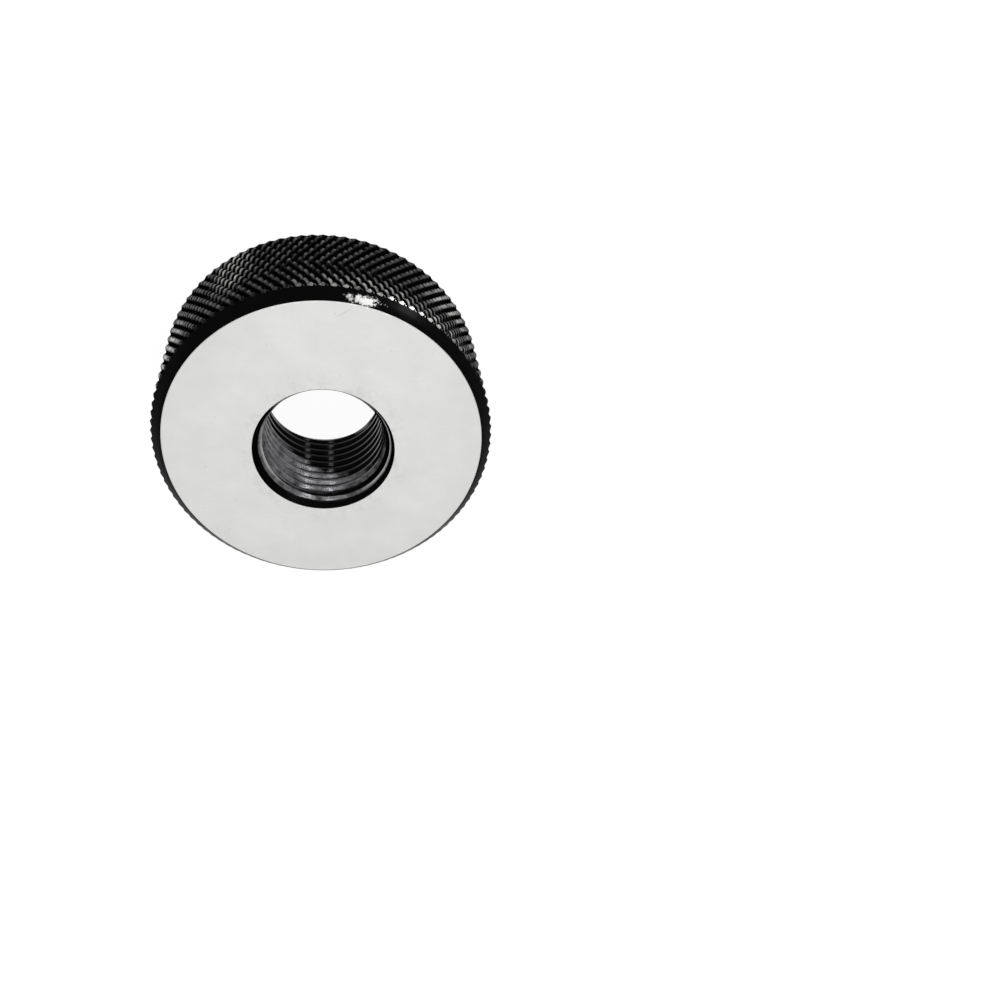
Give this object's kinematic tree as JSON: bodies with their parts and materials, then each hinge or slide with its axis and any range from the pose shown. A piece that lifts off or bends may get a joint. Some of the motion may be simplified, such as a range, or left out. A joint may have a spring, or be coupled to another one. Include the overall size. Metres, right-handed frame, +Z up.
{
  "type": "thread ring gauge",
  "caption": "Flat steel ring with a crossed knurl round the outside and a countersunk threaded bore, screwed over an external thread to test its size.",
  "frame": {"origin": "centre of the bottom lapped face, on the axis of the bore", "axes": "+Z up along the bore's axis, out of the top face; +X and +Y lie in the bottom face and are alike"},
  "size_m": [0.045, 0.045, 0.017],
  "materials": {
    "gauge_steel": "bright lapped faces, with the knurl, chamfers and bore blackened"
  },
  "bodies": {
    "root": {"gauge_ring": "gauge_steel"}
  },
  "joints": []
}
